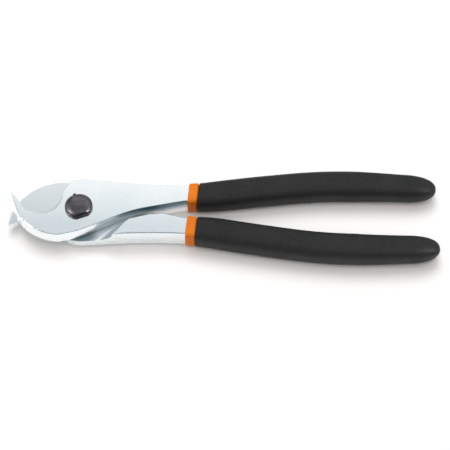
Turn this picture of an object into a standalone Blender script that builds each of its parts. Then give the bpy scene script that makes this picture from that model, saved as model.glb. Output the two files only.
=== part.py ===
"""A hand-held cable cutter lying flat, modelled in metres.

The pivot axis is the Z axis, the handles run along +X and the jaws along -X. The floor is z = 0.
Both halves are drawn in one "half frame", whose Z is 0 on the plane where the two blades slide on each
other. The front half sits in it as drawn. The rear half is the same forging turned half a turn about X,
with a shallower cutting edge.
"""

from math import asin, cos, hypot, pi, radians, sin, sqrt

import bmesh
import bpy
import numpy as np
from mathutils import Vector

MM = 0.001

# Clearances
SEAT_GAP = 0.3 * MM  # between two pieces that rest on, or slide on, each other
PIN_GAP = 0.15 * MM  # round the small locking pin
BEARING_GAP = 0.06 * MM  # round the barrel that the rear half turns on
PARTING_STEP = 0.2 * MM  # the forging's back half is this much smaller than its front half
OVERSHOOT = 1.0 * MM  # how far a cutter runs past the face that it cuts

# Forgings
FORGING_THICKNESS = 11.0 * MM  # two blades, or one shank
EDGE_BREAK = 0.5 * MM  # height of the small chamfer round the back half's outer face
BLADE_WALL_SHARE = 0.9  # of a blade's thickness, up to the same chamfer on its own outer face
JAW_BACK_CENTRE = Vector((-9.4, 9.5)) * MM
JAW_BACK_RADIUS = 28.2 * MM
JAW_TIP_TURN = radians(180)  # where on the jaw's back the tip is
THROAT_CORNER = Vector((-10.3, 9.9)) * MM  # where the cutting edge ends at the pivot
EDGE_MIDDLE = -22.3 * MM  # the deepest point of the cutting edge along X
EDGE_START = radians(207)  # the edge is straight from the tip to here, then round
FRONT_EDGE_DEPTH = -0.5 * MM  # the deepest point across the tool: together these make the closed blades overlap
REAR_EDGE_DEPTH = 0.9 * MM
EDGE_BEVEL_ENDS = 1.2 * MM  # how far the cutting bevel runs in over the blade's thickness at its ends
EDGE_BEVEL_MIDDLE = 4.9 * MM  # and at its middle
BACK_BEVEL = 1.8 * MM  # the same on the jaw's back
SIDE_BEVEL = 0.5 * MM
TIP_FADE = 9.0 * MM  # bevels grow from nothing at the tip to their full width over this length
SHANK_WIDTH = 11.0 * MM
SHANK_END = 61.0 * MM  # the full section stops here, inside the collar
SHOULDER_NOTCH = Vector((-6.6, 15.4)) * MM
SHOULDER_POINTS = ((-4.6, 17.0), (-1.0, 17.9), (3.0, 18.0), (14.0, 17.0), (24.0, 16.2), (34.0, 15.7), (46.0, 15.4))
INNER_POINTS = ((45.0, 2.1, 0.6), (33.0, -0.6, 0.5), (25.0, -3.7, 0.8), (16.0, -8.5, 1.3), (7.0, -13.2, 1.8),
                (0.0, -16.2, 1.8))
STEP_POINTS = ((38.0, 3.3, 0.3, -0.5), (30.0, 5.5, -0.6, -1.0), (26.3, 6.9, -1.5, -1.4), (22.4, 11.6, -3.0, -1.2))
STEP_OUTER = Vector((18.9, 5.5)) * MM  # where the step meets the shank's outer side, and its run-out there
TANG_WIDTH = 8.6 * MM
TANG_THICKNESS = 8.4 * MM
TANG_END_SHARE = 0.72  # the tang's size at its end
TANG_STOP = 12.0 * MM  # from the tang's end to the end of the grip

# Grips: a thin inner sleeve on the tang, whose collar shows, and a thick cover over the sleeve
COLLAR_FRONT = 57.9 * MM
COLLAR_LENGTH = 5.0 * MM
COLLAR_WALL = 0.7 * MM
SLEEVE_WALL = 0.9 * MM
GRIP_END = 192.6 * MM
GRIP_WIDTH = 15.8 * MM
COVER_PROUD = 1.7 * MM  # how far the grips and the nut stand out of the forging's faces
GRIP_MOUTH_SHARE = 0.94  # the cover's width at its mouth
GRIP_SWELL = 14.0 * MM  # over which it reaches its full width
GRIP_TAPER_START = 45.0 * MM  # from the grip's end
GRIP_NOSE_LENGTH = 18.6 * MM
GRIP_NOSE_SHARE = 0.9  # the cover's size where its rounded nose begins
HANDLE_ROUTE = ((0.0, 10.2), (0.105, 11.4), (0.298, 15.2), (0.505, 18.6), (0.684, 19.5), (0.87, 19.0), (1.0, 18.3))

# Pivot
BOLT_RADIUS = 4.0 * MM
BARREL_RADIUS = 5.5 * MM
HEAD_RADIUS = 7.4 * MM
HEAD_RIM = 1.1 * MM
HEAD_HEIGHT = 3.1 * MM
HEAD_FLAT = 6.6 * MM  # from the axis to the flat on the rim
HEAD_LEDGE = 5.6 * MM  # from the axis to the flat on the dome
HEAD_TURN = radians(-68.5)  # which way the flats face
PIN_RADIUS = 1.0 * MM
PIN_DEPTH = 3.0 * MM
PIN_PROUD = 1.3 * MM
NUT_FLATS = 14.0 * MM
NUT_THICKNESS = 2.4 * MM
NUT_CHAMFER = 1.0 * MM
WASHER_RADIUS = 8.2 * MM
WASHER_THICKNESS = 0.6 * MM

# Mesh fineness
ARC_STEP = radians(9)
ROUND_SIDES = 48
RING_POINTS = 24
SPLINE_STEPS = 4

# What follows from them
BLADE_THICKNESS = (FORGING_THICKNESS - SEAT_GAP) / 2
OUTER_FACE = FORGING_THICKNESS / 2
LAP_FACE = SEAT_GAP / 2
MID_HEIGHT = OUTER_FACE + COVER_PROUD  # the tool lies on its nut and its two grips
GRIP_THICKNESS = 2 * MID_HEIGHT
SINK_DEPTH = NUT_THICKNESS + WASHER_THICKNESS + 2 * SEAT_GAP - COVER_PROUD
NUT_CORNER = NUT_FLATS / sqrt(3)
SINK_RADIUS = max(NUT_CORNER, WASHER_RADIUS) + SEAT_GAP
COVER_MOUTH = COLLAR_FRONT + COLLAR_LENGTH + SEAT_GAP

COLOURS = {
    "steel": ((0.76, 0.79, 0.81), 0.28, 1.0),
    "black_oxide": ((0.06, 0.058, 0.06), 0.35, 0.9),
    "orange": ((0.83, 0.26, 0.02), 0.45, 0.0),
    "black_grip": ((0.02, 0.02, 0.021), 0.75, 0.0),
}


# ---- Blender helpers ----

def clear_scene():
    for obj in list(bpy.data.objects):
        bpy.data.objects.remove(obj)


def make_material(name):
    colour, roughness, metallic = COLOURS[name]
    material = bpy.data.materials.new(name)
    material.use_nodes = True
    shader = material.node_tree.nodes["Principled BSDF"]
    shader.inputs["Base Color"].default_value = (*colour, 1.0)
    shader.inputs["Roughness"].default_value = roughness
    shader.inputs["Metallic"].default_value = metallic
    return material


def add_object(name, bm, frame, material=None, location=(0, 0, 0)):
    """Turns a bmesh into an object in a half's frame. One without a material is a helper, and is hidden."""
    bmesh.ops.recalc_face_normals(bm, faces=bm.faces)
    mesh = bpy.data.meshes.new(name)
    bm.to_mesh(mesh)
    bm.free()
    obj = bpy.data.objects.new(name, mesh)
    bpy.context.scene.collection.objects.link(obj)
    obj.parent = frame
    obj.location = location
    if material is None:
        obj.hide_render = True
        obj.display_type = "WIRE"
    else:
        mesh.materials.append(material)
        mesh.shade_smooth()
        mesh.set_sharp_from_angle(angle=radians(30))
    return obj


def boolean(obj, operation, other):
    modifier = obj.modifiers.new(f"{operation.lower()} {other.name}", "BOOLEAN")
    modifier.operation = operation
    modifier.solver = "EXACT"
    modifier.object = other


def add_frame(name, turn):
    """An empty on the pivot axis at the height of the blades' sliding plane, turned about X."""
    frame = bpy.data.objects.new(name, None)
    bpy.context.scene.collection.objects.link(frame)
    frame.location = (0, 0, MID_HEIGHT)
    frame.rotation_euler = (turn, 0, 0)
    return frame


# ---- Shapes ----

def skin(rings):
    """A closed body through rings of the same number of points, with a flat cap on the first and the last."""
    bm = bmesh.new()
    rows = [[bm.verts.new(point) for point in ring] for ring in rings]
    count = len(rows[0])
    for near, far in zip(rows, rows[1:]):
        for i in range(count):
            j = (i + 1) % count
            bm.faces.new((near[i], near[j], far[j], far[i]))
    bm.faces.new(rows[0][::-1])
    bm.faces.new(rows[-1])
    return bm


def turned(profile, sides=ROUND_SIDES):
    """A solid of revolution about Z. The profile is (radius, z) rows, and starts and ends on the axis."""
    rings = [[(r * cos(2 * pi * k / sides), r * sin(2 * pi * k / sides), z) for k in range(sides)]
             for r, z in profile if r > 0]
    bm = bmesh.new()
    rows = [[bm.verts.new(point) for point in ring] for ring in rings]
    poles = [bm.verts.new((0, 0, z)) for r, z in (profile[0], profile[-1])]
    for near, far in zip(rows, rows[1:]):
        for i in range(sides):
            j = (i + 1) % sides
            bm.faces.new((near[i], near[j], far[j], far[i]))
    for pole, row in zip(poles, (rows[0], rows[-1])):
        for i in range(sides):
            bm.faces.new((pole, row[i], row[(i + 1) % sides]))
    return bm


def cylinder(radius, low, high, sides=ROUND_SIDES):
    return turned(((0, low), (radius, low), (radius, high), (0, high)), sides)


def ring_solid(outer, inner, low, high, sides=ROUND_SIDES):
    """A flat ring about Z."""
    bm = bmesh.new()
    rows = [[bm.verts.new((radius * cos(2 * pi * k / sides), radius * sin(2 * pi * k / sides), z))
             for k in range(sides)]
            for radius, z in ((outer, low), (outer, high), (inner, high), (inner, low))]
    for near, far in zip(rows, rows[1:] + rows[:1]):
        for i in range(sides):
            j = (i + 1) % sides
            bm.faces.new((near[i], near[j], far[j], far[i]))
    return bm


def block(low, high):
    """A box between two corners."""
    size = [high[k] - low[k] for k in range(3)]
    rows = []
    for z in (low[2], high[2]):
        rows.append([(low[0], low[1], z), (low[0] + size[0], low[1], z),
                     (high[0], high[1], z), (low[0], high[1], z)])
    return skin(rows)


def smooth(rows, steps=SPLINE_STEPS):
    """A Catmull-Rom curve through rows of numbers, the first and last included."""
    rows = [np.array(row, float) for row in rows]
    padded = [2 * rows[0] - rows[1], *rows, 2 * rows[-1] - rows[-2]]
    found = []
    for a, b, c, d in zip(padded, padded[1:], padded[2:], padded[3:]):
        for k in range(steps):
            t = k / steps
            found.append(0.5 * (2 * b + (c - a) * t + (2 * a - 5 * b + 4 * c - d) * t * t
                                + (3 * b - a - 3 * c + d) * t ** 3))
    return found + [rows[-1]]


def arc(centre, radius, start, end):
    """Points on a circle from one angle to another, both included."""
    count = max(2, round(abs(end - start) / ARC_STEP))
    angles = [start + (end - start) * k / count for k in range(count + 1)]
    return [(centre[0] + radius * cos(a), centre[1] + radius * sin(a)) for a in angles]


def inset(outline, widths):
    """The outline moved in by a width at each point. The outline runs clockwise."""
    found = []
    for i, point in enumerate(outline):
        before, after = outline[i - 1], outline[(i + 1) % len(outline)]
        along = (Vector(point[:2]) - Vector(before[:2])).normalized() + (Vector(after[:2]) - Vector(point[:2])).normalized()
        along.normalize()
        found.append((point[0] + along.y * widths[i], point[1] - along.x * widths[i]))
    return found


# ---- The handle's line, which the shank, tang, sleeve and cover share ----

ROUTE = np.array(smooth([(COLLAR_FRONT + share * (GRIP_END - COLLAR_FRONT), offset * MM)
                         for share, offset in HANDLE_ROUTE], 12))


def handle_offset(x):
    """How far the handle's middle lies from the tool's middle at x."""
    if x < ROUTE[0][0]:
        slope = (ROUTE[1][1] - ROUTE[0][1]) / (ROUTE[1][0] - ROUTE[0][0])
        return ROUTE[0][1] + slope * (x - ROUTE[0][0])
    return float(np.interp(x, ROUTE[:, 0], ROUTE[:, 1]))


def section(x, half_width, half_thickness, squareness):
    """A ring square to the handle's line at x: an ellipse at squareness 2, and nearly a rectangle at 8."""
    reach = 1.0 * MM
    along = Vector((2 * reach, handle_offset(x + reach) - handle_offset(x - reach), 0)).normalized()
    across = Vector((-along.y, along.x, 0))
    middle = Vector((x, handle_offset(x), 0))
    ring = []
    for k in range(RING_POINTS):
        turn = 2 * pi * k / RING_POINTS
        c, s = cos(turn), sin(turn)
        u = half_width * abs(c) ** (2 / squareness) * (1 if c > 0 else -1)
        v = half_thickness * abs(s) ** (2 / squareness) * (1 if s > 0 else -1)
        ring.append(middle + across * u + Vector((0, 0, v)))
    return ring


# ---- The two forgings ----

def jaw_tip():
    return (JAW_BACK_CENTRE.x + JAW_BACK_RADIUS * cos(JAW_TIP_TURN),
            JAW_BACK_CENTRE.y + JAW_BACK_RADIUS * sin(JAW_TIP_TURN))


def cutting_edge(depth):
    """From the tip to the throat corner, in the half frame: points, and the bevel at each."""
    half, rise = THROAT_CORNER.x - EDGE_MIDDLE, THROAT_CORNER.y - depth
    radius = (half ** 2 + rise ** 2) / (2 * rise)
    centre = (EDGE_MIDDLE, depth + radius)
    end = 2 * pi + asin((THROAT_CORNER.y - centre[1]) / radius)
    curve = arc(centre, radius, EDGE_START, end)
    tip = jaw_tip()
    straight = [(tip[0] + (curve[0][0] - tip[0]) * k / 3, tip[1] + (curve[0][1] - tip[1]) * k / 3) for k in range(3)]
    rows = [(x, y, EDGE_BEVEL_ENDS) for x, y in straight]
    for k, (x, y) in enumerate(curve):
        swell = sin(pi * k / (len(curve) - 1)) ** 1.5
        rows.append((x, y, EDGE_BEVEL_ENDS + (EDGE_BEVEL_MIDDLE - EDGE_BEVEL_ENDS) * swell))
    return rows


def outer_side():
    """The shoulder and the shank's outer side, from the notch to the shank's end."""
    rows = [tuple(SHOULDER_NOTCH)] + [(x * MM, y * MM) for x, y in SHOULDER_POINTS]
    rows += [(x, handle_offset(x) + SHANK_WIDTH / 2) for x in (COLLAR_FRONT - 2 * MM, SHANK_END)]
    return smooth(rows)


def inner_side():
    """The shank's inner side and the blade's belly, from the shank's end to the jaw's back, with bevels."""
    rows = [(x, handle_offset(x) - SHANK_WIDTH / 2, SIDE_BEVEL) for x in (SHANK_END, COLLAR_FRONT - 2 * MM)]
    rows += [(x * MM, y * MM, bevel * MM) for x, y, bevel in INNER_POINTS]
    rows.append((JAW_BACK_CENTRE.x, JAW_BACK_CENTRE.y - JAW_BACK_RADIUS, BACK_BEVEL))
    return smooth(rows)


def blade_outline(depth):
    """The blade and the shank's front half at the sliding plane: points, and the bevel at each."""
    rows = cutting_edge(depth)
    rows += [(x, y, SIDE_BEVEL) for x, y in outer_side()]
    rows += [tuple(row) for row in inner_side()]
    rows += [(x, y, BACK_BEVEL) for x, y in
             arc(JAW_BACK_CENTRE, JAW_BACK_RADIUS, radians(270), JAW_TIP_TURN)[1:-1]]
    tip = rows[0]
    points = [row[:2] for row in rows]
    bevels = [row[2] * min(1.0, 0.04 + hypot(row[0] - tip[0], row[1] - tip[1]) / TIP_FADE) for row in rows]
    return points, bevels


def blade(depth):
    points, bevels = blade_outline(depth)
    share = BLADE_WALL_SHARE
    rings = ((LAP_FACE, points),
             (LAP_FACE + share * BLADE_THICKNESS, inset(points, [share * width for width in bevels])),
             (OUTER_FACE, inset(points, [width + EDGE_BREAK * min(1.0, width / SIDE_BEVEL) / 2 for width in bevels])))
    return skin([[(x, y, z) for x, y in ring] for z, ring in rings])


def shank_back():
    """The half of the shank behind the blade. Its front wall runs out in a hollow towards the pivot."""
    outer = np.array(outer_side())
    inner = np.array([row[:2] for row in inner_side()])[::-1]
    rows = [(STEP_OUTER.x, np.interp(STEP_OUTER.x, outer[:, 0], outer[:, 1]) - PARTING_STEP,
             -STEP_OUTER.y, np.interp(STEP_OUTER.x - STEP_OUTER.y, outer[:, 0], outer[:, 1])
             - np.interp(STEP_OUTER.x, outer[:, 0], outer[:, 1]))]
    for x in np.linspace(STEP_OUTER.x + 5 * MM, SHANK_END - PARTING_STEP, 8):
        rows.append((x, np.interp(x, outer[:, 0], outer[:, 1]) - PARTING_STEP, 0, 0))
    for x in np.linspace(SHANK_END - PARTING_STEP, 45 * MM, 5):
        rows.append((x, np.interp(x, inner[:, 0], inner[:, 1]) + PARTING_STEP, 0, 0))
    rows += [tuple(value * MM for value in row) for row in STEP_POINTS]
    points = [row[:2] for row in rows]
    edge = [EDGE_BREAK * 0.6] * len(points)
    rings = [(-OUTER_FACE, inset(points, edge)), (-OUTER_FACE + EDGE_BREAK, points)]
    for share in (0.6, 0.35, 0.15, 0.0):
        run = 1 - sqrt(1 - (1 - share) ** 2)
        level = LAP_FACE - share * (OUTER_FACE + LAP_FACE)
        rings.append((level, [(x + dx * run, y + dy * run) for x, y, dx, dy in rows]))
    rings.append((LAP_FACE + BLADE_THICKNESS * 0.25, rings[-1][1]))
    return skin([[(x, y, z) for x, y in ring] for z, ring in rings])


def tang():
    """The tapering bar inside the grip."""
    start, end = SHANK_END - 6 * MM, GRIP_END - TANG_STOP
    rings = []
    for share in (0.0, 0.04, 0.12, 0.24, 0.36, 0.48, 0.6, 0.72, 0.84, 0.96, 1.0):
        size = 1 - (1 - TANG_END_SHARE) * share
        if share == 1.0:
            size *= 0.7
        rings.append(section(start + share * (end - start), size * TANG_WIDTH / 2, size * TANG_THICKNESS / 2, 4))
    return skin(rings)


def add_half(name, frame, depth, material):
    """One forging, with its hole for the bolt or for the nut's barrel still to be cut."""
    half = add_object(name, blade(depth), frame, material)
    boolean(half, "UNION", add_object(f"{name}_shank_helper", shank_back(), frame))
    boolean(half, "UNION", add_object(f"{name}_tang_helper", tang(), frame))
    return half


# ---- The grips ----

def tang_share(x):
    start, end = SHANK_END - 6 * MM, GRIP_END - TANG_STOP
    return 1 - (1 - TANG_END_SHARE) * min(1.0, (x - start) / (end - start))


def sleeve_half(x, room):
    """Half sizes of a ring that clears the tang by some room at x."""
    size = tang_share(x)
    return size * TANG_WIDTH / 2 + room, size * TANG_THICKNESS / 2 + room


def sleeve():
    """The thin inner sleeve: its cavity from the deep end to the mouth, then its outside back to its end."""
    cavity_end = GRIP_END - TANG_STOP + SEAT_GAP
    outer_end = cavity_end + SLEEVE_WALL
    mouth = (SHANK_WIDTH / 2 + SEAT_GAP, OUTER_FACE + SEAT_GAP)
    shoulder = COLLAR_FRONT + COLLAR_LENGTH
    collar = (mouth[0] + COLLAR_WALL, mouth[1] + COLLAR_WALL)
    stations = np.linspace(shoulder + 1 * MM, cavity_end, 10)
    rings = [section(x, *sleeve_half(x, SEAT_GAP), 4) for x in stations[::-1]]
    rings += [section(SHANK_END + SEAT_GAP, *mouth, 16), section(COLLAR_FRONT, *mouth, 16)]
    rounding = 0.35 * MM
    rings.append(section(COLLAR_FRONT, collar[0] - rounding, collar[1] - rounding, 6))
    rings.append(section(COLLAR_FRONT + rounding, *collar, 5.5))
    rings.append(section(shoulder, *collar, 5.5))
    rings.append(section(shoulder, *sleeve_half(shoulder, SEAT_GAP + SLEEVE_WALL), 4))
    rings += [section(x, *sleeve_half(x, SEAT_GAP + SLEEVE_WALL), 4)
              for x in np.linspace(shoulder + 1 * MM, outer_end, 10)]
    return skin(rings)


def cover_share(x):
    """The cover's size at x, as a share of its greatest."""
    nose, taper = GRIP_END - GRIP_NOSE_LENGTH, GRIP_END - GRIP_TAPER_START
    if x <= taper:
        return 1.0
    if x <= nose:
        return 1 - (1 - GRIP_NOSE_SHARE) * (x - taper) / (nose - taper)
    roundness = 2.4
    return GRIP_NOSE_SHARE * max(0.0, 1 - ((x - nose) / GRIP_NOSE_LENGTH) ** roundness) ** (1 / roundness)


def cover():
    """The thick outer cover: its cavity from the deep end to the mouth, then its outside back to its nose."""
    cavity_end = GRIP_END - TANG_STOP + 2 * SEAT_GAP + SLEEVE_WALL
    room = 2 * SEAT_GAP + SLEEVE_WALL
    rings = [section(x, *sleeve_half(x, room), 4) for x in np.linspace(COVER_MOUTH, cavity_end, 11)[::-1]]
    nose = GRIP_END - GRIP_NOSE_LENGTH
    stations = [COVER_MOUTH + 0.4 * MM, COVER_MOUTH + GRIP_SWELL / 2, COVER_MOUTH + GRIP_SWELL]
    stations += list(np.linspace(COVER_MOUTH + GRIP_SWELL, nose, 9)[1:])
    stations += [nose + GRIP_NOSE_LENGTH * sin(pi / 2 * k / 7) for k in range(1, 7)]
    stations += [GRIP_END - 0.05 * MM]
    for x in [COVER_MOUTH, *stations]:
        mouth = min(1.0, (x - COVER_MOUTH) / GRIP_SWELL)
        width = GRIP_MOUTH_SHARE + (1 - GRIP_MOUTH_SHARE) * sin(pi / 2 * mouth)
        lip = 0.4 * MM if x == COVER_MOUTH else 0.0
        share = cover_share(x)
        squareness = 3.6 - 0.8 * mouth
        rings.append(section(x, share * width * GRIP_WIDTH / 2 - lip, share * GRIP_THICKNESS / 2 - lip, squareness))
    return skin(rings)


# ---- The pivot ----

def head_profile():
    """The bolt from the middle of its dome down to its end, in the half frame."""
    seat = OUTER_FACE + SEAT_GAP
    top = seat + HEAD_HEIGHT
    dome_radius = HEAD_RADIUS - 0.35 * MM
    rows = [(0, top)]
    for k in range(1, 8):
        share = k / 7
        rows.append((dome_radius * sin(pi / 2 * share), seat + HEAD_RIM
                     + (HEAD_HEIGHT - HEAD_RIM) * cos(pi / 2 * share) ** 1.25))
    end = -MID_HEIGHT
    chamfer = 0.5 * MM
    rows += [(HEAD_RADIUS, seat + HEAD_RIM - 0.3 * MM), (HEAD_RADIUS, seat), (BOLT_RADIUS, seat),
             (BOLT_RADIUS, end + chamfer), (BOLT_RADIUS - chamfer, end), (0, end)]
    return rows


def add_bolt(frame, material):
    bolt = add_object("pivot_bolt", turned(head_profile()), frame, material)
    seat, reach = OUTER_FACE + SEAT_GAP, 2 * HEAD_RADIUS
    for name, distance, low in (("rim_flat", HEAD_FLAT, seat - SEAT_GAP / 2),
                                ("dome_flat", HEAD_LEDGE, seat + HEAD_RIM * 0.6)):
        cutter = add_object(f"{name}_helper", block((distance, -reach, low), (reach, reach, seat + reach)), frame)
        cutter.rotation_euler = (0, 0, HEAD_TURN)
        boolean(bolt, "DIFFERENCE", cutter)
    notch = add_object("head_notch_helper", cylinder(PIN_RADIUS + SEAT_GAP, 0, seat + reach, 24), frame,
                       location=pin_place())
    boolean(bolt, "DIFFERENCE", notch)
    return bolt


def pin_place():
    """The locking pin stands on the head's edge, opposite the flats."""
    return -HEAD_RADIUS * cos(HEAD_TURN), -HEAD_RADIUS * sin(HEAD_TURN), 0


def add_pin(frame, half, material):
    bottom = OUTER_FACE - PIN_DEPTH
    chamfer = 0.3 * MM
    top = OUTER_FACE + PIN_PROUD
    profile = ((0, bottom), (PIN_RADIUS - chamfer, bottom), (PIN_RADIUS, bottom + chamfer),
               (PIN_RADIUS, top - chamfer), (PIN_RADIUS - chamfer, top), (0, top))
    pin = add_object("locking_pin", turned(profile, 24), frame, material, pin_place())
    hole = add_object("pin_hole_helper", cylinder(PIN_RADIUS + PIN_GAP, bottom - PIN_GAP, OUTER_FACE + OVERSHOOT, 24),
                      frame, location=pin_place())
    boolean(half, "DIFFERENCE", hole)
    return pin


def add_nut(frame, material):
    """A hexagon nut whose barrel is the rear half's bearing. In the front half's frame its face is lowest."""
    face = -MID_HEIGHT
    nut = add_object("pivot_nut", cylinder(NUT_CORNER, face, face + NUT_THICKNESS, 6), frame, material)
    past = NUT_CORNER + OVERSHOOT
    cone = turned(((0, face - OVERSHOOT), (NUT_FLATS / 2, face - OVERSHOOT), (NUT_FLATS / 2, face),
                   (past, face + NUT_CHAMFER), (past, face + NUT_THICKNESS + OVERSHOOT),
                   (0, face + NUT_THICKNESS + OVERSHOOT)))
    boolean(nut, "INTERSECT", add_object("nut_cone_helper", cone, frame))
    barrel = cylinder(BARREL_RADIUS, face + NUT_THICKNESS / 2, -LAP_FACE)
    boolean(nut, "UNION", add_object("nut_barrel_helper", barrel, frame))
    bore = cylinder(BOLT_RADIUS + SEAT_GAP, face - OVERSHOOT, OVERSHOOT)
    boolean(nut, "DIFFERENCE", add_object("nut_bore_helper", bore, frame))
    return nut


def add_washer(frame, material):
    low = -MID_HEIGHT + NUT_THICKNESS + SEAT_GAP
    ring = ring_solid(WASHER_RADIUS, BARREL_RADIUS + SEAT_GAP, low, low + WASHER_THICKNESS)
    return add_object("pivot_washer", ring, frame, material)


def cut_round(half, frame, name, radius, low, high):
    boolean(half, "DIFFERENCE", add_object(f"{name}_helper", cylinder(radius, low, high), frame))


def build():
    clear_scene()
    steel, dark, orange, black = (make_material(name) for name in COLOURS)
    front = add_frame("front_frame", 0)
    rear = add_frame("rear_frame", pi)

    front_half = add_half("front_half", front, FRONT_EDGE_DEPTH, steel)
    cut_round(front_half, front, "bolt_hole", BOLT_RADIUS + SEAT_GAP, -OVERSHOOT, OUTER_FACE + OVERSHOOT)
    rear_half = add_half("rear_half", rear, REAR_EDGE_DEPTH, steel)
    cut_round(rear_half, rear, "barrel_hole", BARREL_RADIUS + BEARING_GAP, -OVERSHOOT, OUTER_FACE + OVERSHOOT)
    cut_round(rear_half, rear, "nut_sink", SINK_RADIUS, OUTER_FACE - SINK_DEPTH, OUTER_FACE + OVERSHOOT)

    add_bolt(front, dark)
    add_pin(front, front_half, dark)
    add_nut(front, dark)
    add_washer(front, steel)
    for side, frame in (("upper", front), ("lower", rear)):
        add_object(f"{side}_grip_sleeve", sleeve(), frame, orange)
        add_object(f"{side}_grip_cover", cover(), frame, black)


build()
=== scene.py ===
from math import asin, cos, exp, hypot, pi, radians, sin

import bmesh
import bpy
import numpy as np
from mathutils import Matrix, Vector


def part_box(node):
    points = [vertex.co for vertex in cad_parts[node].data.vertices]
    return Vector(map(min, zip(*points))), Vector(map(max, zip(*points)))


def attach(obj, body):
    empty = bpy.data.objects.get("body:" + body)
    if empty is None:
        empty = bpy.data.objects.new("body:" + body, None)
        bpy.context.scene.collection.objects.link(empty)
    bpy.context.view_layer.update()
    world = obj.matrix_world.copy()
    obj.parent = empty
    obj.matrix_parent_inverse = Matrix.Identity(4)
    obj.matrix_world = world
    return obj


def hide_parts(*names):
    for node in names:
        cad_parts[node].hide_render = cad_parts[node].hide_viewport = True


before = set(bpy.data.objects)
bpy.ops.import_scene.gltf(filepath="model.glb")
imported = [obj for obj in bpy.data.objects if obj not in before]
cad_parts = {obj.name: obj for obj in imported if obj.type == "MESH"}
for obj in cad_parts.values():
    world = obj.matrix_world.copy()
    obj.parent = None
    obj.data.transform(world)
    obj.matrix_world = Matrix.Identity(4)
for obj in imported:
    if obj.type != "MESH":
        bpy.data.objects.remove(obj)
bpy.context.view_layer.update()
mm = 0.001

# Heights that come from the frame
frontLow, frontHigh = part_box("front_half")
midHeight = (frontLow.z + frontHigh.z) / 2  # the plane where the two blades slide
outerFace = frontHigh.z - midHeight
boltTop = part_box("pivot_bolt")[1].z - midHeight
print("frame loaded, blades slide at", round(midHeight / mm, 2), "mm")


# Helpers that make and cut meshes

def meshObject(name, bm, materials, sharpAngle=35):
    bmesh.ops.recalc_face_normals(bm, faces=bm.faces)
    mesh = bpy.data.meshes.new(name)
    bm.to_mesh(mesh)
    bm.free()
    for material in materials:
        mesh.materials.append(material)
    obj = bpy.data.objects.new(name, mesh)
    bpy.context.scene.collection.objects.link(obj)
    mesh.shade_smooth()
    mesh.set_sharp_from_angle(angle=radians(sharpAngle))
    return obj


def bakeModifiers(obj, sharpAngle=35, mend=0.0):
    # the evaluated result becomes the object's own plain mesh, with slivers thinner than mend closed
    graph = bpy.context.evaluated_depsgraph_get()
    mesh = bpy.data.meshes.new_from_object(obj.evaluated_get(graph), preserve_all_data_layers=True,
                                           depsgraph=graph)
    obj.modifiers.clear()
    obj.data = mesh
    if mend:
        bm = bmesh.new()
        bm.from_mesh(mesh)
        bmesh.ops.remove_doubles(bm, verts=bm.verts, dist=mend)
        bmesh.ops.dissolve_degenerate(bm, edges=bm.edges, dist=mend)
        bm.to_mesh(mesh)
        bm.free()
    mesh.shade_smooth()
    mesh.set_sharp_from_angle(angle=radians(sharpAngle))
    return obj


def cutWith(obj, tool, operation="DIFFERENCE"):
    modifier = obj.modifiers.new(tool.name, "BOOLEAN")
    modifier.operation = operation
    modifier.solver = "EXACT"
    modifier.object = tool
    bakeModifiers(obj)
    bpy.data.objects.remove(tool)


def movePoints(obj, move):
    # move changes an array of the mesh's points in place
    data = obj.data
    co = np.empty(len(data.vertices) * 3)
    data.vertices.foreach_get("co", co)
    move(co.reshape(-1, 3))
    data.vertices.foreach_set("co", co)
    data.update()


def placeHalf(obj, turned):
    # from a half's own frame, whose z is 0 where the blades slide, into the tool's frame
    def move(co):
        if turned:
            co[:, 1:] *= -1
        co[:, 2] += midHeight

    movePoints(obj, move)


def standFor(piece, node, body):
    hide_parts(node)
    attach(piece, body)


def skinRings(rings, slotOf=None, firstCap=0):
    # rings of equal length become a closed body with flat ends
    bm = bmesh.new()
    rows = [[bm.verts.new(point) for point in ring] for ring in rings]
    count = len(rows[0])
    for level, (near, far) in enumerate(zip(rows, rows[1:])):
        for i in range(count):
            j = (i + 1) % count
            face = bm.faces.new((near[i], near[j], far[j], far[i]))
            face.material_index = slotOf(level, i) if slotOf else 0
    bm.faces.new(rows[0][::-1]).material_index = firstCap
    bm.faces.new(rows[-1])
    return bm


def lathe(profile, sides=96, centre=(0, 0)):
    # profile is (radius, z) rows that start and end on the axis
    bm = bmesh.new()
    rows = []
    x, y = centre
    turns = [2 * pi * k / sides for k in range(sides)]
    for r, z in profile[1:-1]:
        rows.append([bm.verts.new((x + r * cos(turn), y + r * sin(turn), z)) for turn in turns])
    for near, far in zip(rows, rows[1:]):
        for i in range(sides):
            j = (i + 1) % sides
            bm.faces.new((near[i], near[j], far[j], far[i]))
    for row, (r, z) in ((rows[0], profile[0]), (rows[-1], profile[-1])):
        pole = bm.verts.new((x, y, z))
        for i in range(sides):
            bm.faces.new((pole, row[i], row[(i + 1) % sides]))
    return bm


def smoothRows(rows, gap):
    # Catmull-Rom through rows whose first two numbers are x and y
    rows = [np.array(row, float) for row in rows]
    padded = [2 * rows[0] - rows[1], *rows, 2 * rows[-1] - rows[-2]]
    found = []
    for a, b, c, d in zip(padded, padded[1:], padded[2:], padded[3:]):
        steps = max(1, round(hypot(*(c - b)[:2]) / gap))
        for k in range(steps):
            t = k / steps
            found.append(0.5 * (2 * b + (c - a) * t + (2 * a - 5 * b + 4 * c - d) * t * t
                                + (3 * b - a - 3 * c + d) * t ** 3))
    return found + [rows[-1]]


def arcPoints(centre, radius, start, end, gap):
    count = max(2, round(abs(end - start) * radius / gap))
    return [(centre[0] + radius * cos(start + (end - start) * k / count),
             centre[1] + radius * sin(start + (end - start) * k / count)) for k in range(count + 1)]


# Helpers for node trees, and the effects that several finishes share

def addNode(tree, kind, **settings):
    node = tree.nodes.new(kind)
    for key, value in settings.items():
        setattr(node, key, value)
    return node


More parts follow.
